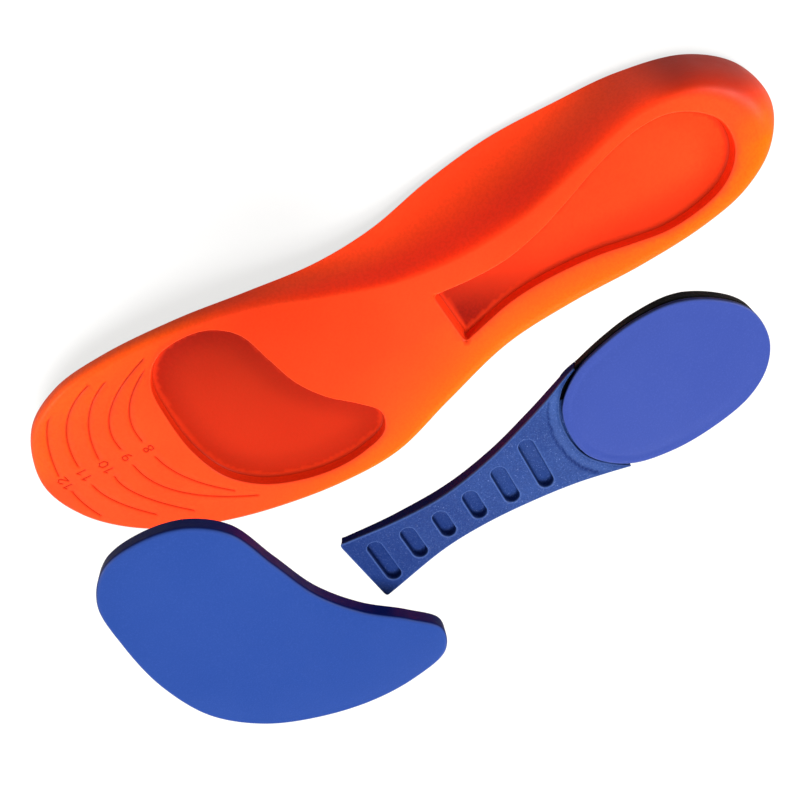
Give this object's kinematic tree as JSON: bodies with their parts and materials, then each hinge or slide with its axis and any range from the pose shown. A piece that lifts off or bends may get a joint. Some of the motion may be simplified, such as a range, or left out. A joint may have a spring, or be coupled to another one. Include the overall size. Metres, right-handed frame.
{
  "type": "cushioned insole",
  "caption": "Moulded foam shoe insole, sole side up, with a forefoot cushion and a heel and arch insert drawn out of their pockets.",
  "frame": {"origin": "on the flat of the sole, between the forefoot pocket and the heel pocket", "axes": "+Z is the sole's outward normal, so the insole lies sole side up; +Y points to the toe; +X points to the arch (medial) side of a right foot"},
  "size_m": [0.1094, 0.3098, 0.1664],
  "materials": {
    "orange_foam": "satin moulded polyurethane foam",
    "cover_textile": "fine brushed knit",
    "blue_gel": "smooth satin gel",
    "blue_plate": "sandblasted matt texture",
    "violet_blue_gel": "smooth satin gel",
    "black_foam": "matt black foam"
  },
  "bodies": {
    "insole": {"foam_body": "orange_foam", "top_cover": "cover_textile"},
    "forefoot_insert": {"forefoot_gel_pad": "blue_gel"},
    "heel_insert": {"arch_support_plate": "blue_plate", "heel_gel_pad": "violet_blue_gel", "heel_backing_layer": "black_foam"}
  },
  "joints": [
    {"name": "forefoot_lift", "type": "slide", "parent": "insole", "child": "forefoot_insert", "axis": [0.1429, -0.0785, 0.9866], "range_m": [-0.14139, 0]},
    {"name": "heel_lift", "type": "slide", "parent": "insole", "child": "heel_insert", "axis": [0.1304, 0.3076, 0.9425], "range_m": [-0.13654, 0]}
  ]
}
